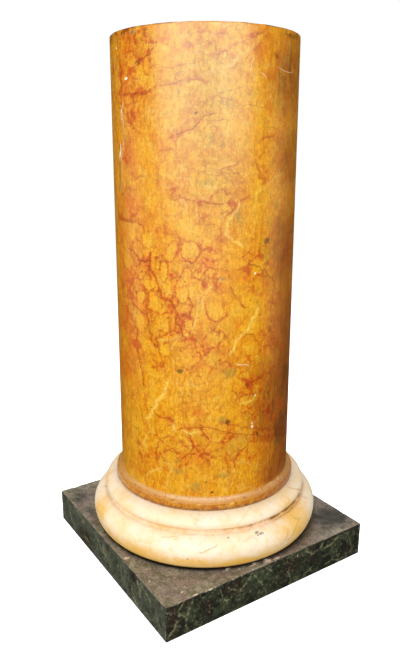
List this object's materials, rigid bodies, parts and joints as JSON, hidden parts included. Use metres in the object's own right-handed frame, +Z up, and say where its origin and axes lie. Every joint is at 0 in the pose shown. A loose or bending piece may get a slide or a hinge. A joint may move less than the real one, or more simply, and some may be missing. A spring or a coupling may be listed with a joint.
{
  "type": "painted metal column pedestal",
  "caption": "Tall round column pedestal on a square plinth, painted sheet metal in imitation of veined marble, for showing a bust or an urn.",
  "frame": {"origin": "the middle of the plinth's underside, on the floor", "axes": "+Z up along the column's axis, +X and +Y square to the plinth's sides"},
  "size_m": [0.5, 0.5, 1.072],
  "materials": {
    "green_marble_paint": "worn satin paint imitating dark green marble, with pale veins and a dusty grey-brown top",
    "cream_marble_paint": "satin varnished paint imitating cream marble, with faint tan veins and hairlines",
    "yellow_marble_paint": "satin varnished paint imitating golden yellow marble, with red-brown and pale veins and fine scratches"
  },
  "bodies": {
    "root": {"plinth": "green_marble_paint", "base_moulding": "cream_marble_paint", "shaft": "yellow_marble_paint"}
  },
  "joints": []
}
